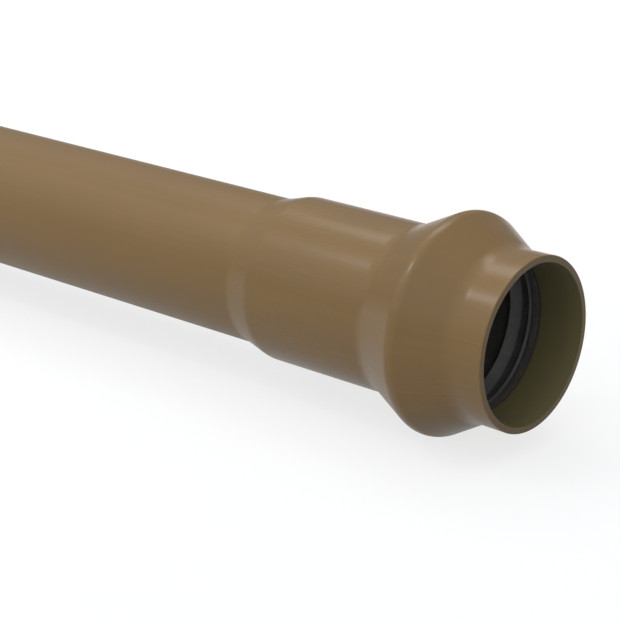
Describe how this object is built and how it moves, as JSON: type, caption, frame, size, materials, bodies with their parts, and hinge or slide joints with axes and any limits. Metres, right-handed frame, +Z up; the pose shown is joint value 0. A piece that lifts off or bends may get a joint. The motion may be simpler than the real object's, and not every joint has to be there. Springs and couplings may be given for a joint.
{
  "type": "pvc water pipe",
  "caption": "Length of brown rigid PVC pressure pipe: a plain bevelled spigot at one end, a formed bell socket with a black rubber sealing ring in its groove at the other.",
  "frame": {"origin": "On the ground under the middle of the pipe's length, below its axis, at the height of the socket's widest ring.", "axes": "+X runs along the pipe's axis and out of the socket's mouth, -X out of the spigot, +Z is up, and Y lies across the pipe."},
  "size_m": [6, 0.0868, 0.087],
  "materials": {
    "brown_pvc": "extruded rigid PVC in olive brown, satin to half gloss, with faint draw lines along the barrel",
    "black_rubber": "moulded black rubber, matt with a soft sheen on its lip"
  },
  "bodies": {
    "root": {"pipe": "brown_pvc", "sealing_ring": "black_rubber"}
  },
  "joints": []
}
